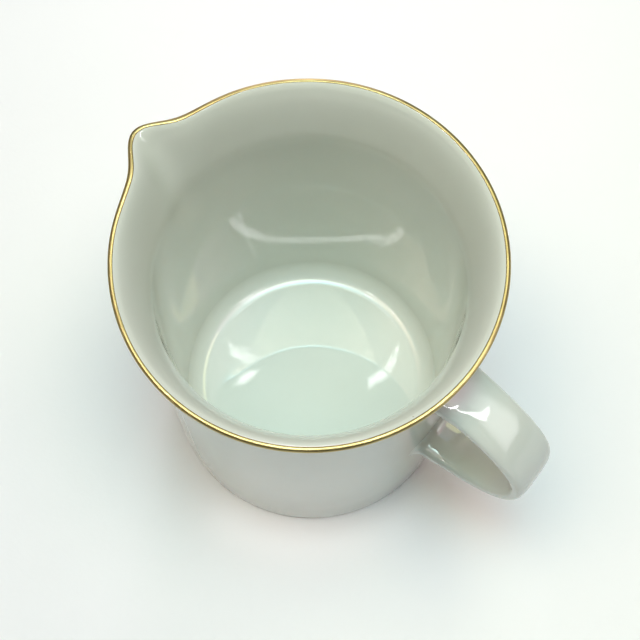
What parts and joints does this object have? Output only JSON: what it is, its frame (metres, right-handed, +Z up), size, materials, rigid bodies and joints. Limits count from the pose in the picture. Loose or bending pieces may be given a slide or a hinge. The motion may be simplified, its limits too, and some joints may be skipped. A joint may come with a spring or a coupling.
{
  "type": "porcelain cream jug",
  "caption": "White glazed cream jug: straight, slightly tapered cup with a flared gold-lined rim, a pinched pouring spout and a strap handle opposite it.",
  "frame": {"origin": "on the jug's axis, in the plane of the foot ring that it stands on", "axes": "+Z up, +X from the axis towards the middle of the handle, so the spout points along -X, and the jug is a mirror image of itself across the XZ plane"},
  "size_m": [0.105, 0.0796, 0.0899],
  "materials": {
    "porcelain": "clear glossy glaze over white porcelain, bare and matt on the foot ring",
    "gold": "burnished bright gold, slightly worn"
  },
  "bodies": {
    "root": {"body": "porcelain", "handle": "porcelain", "upper_joint_slip": "porcelain", "lower_joint_slip": "porcelain", "gold_line": "gold"}
  },
  "joints": []
}
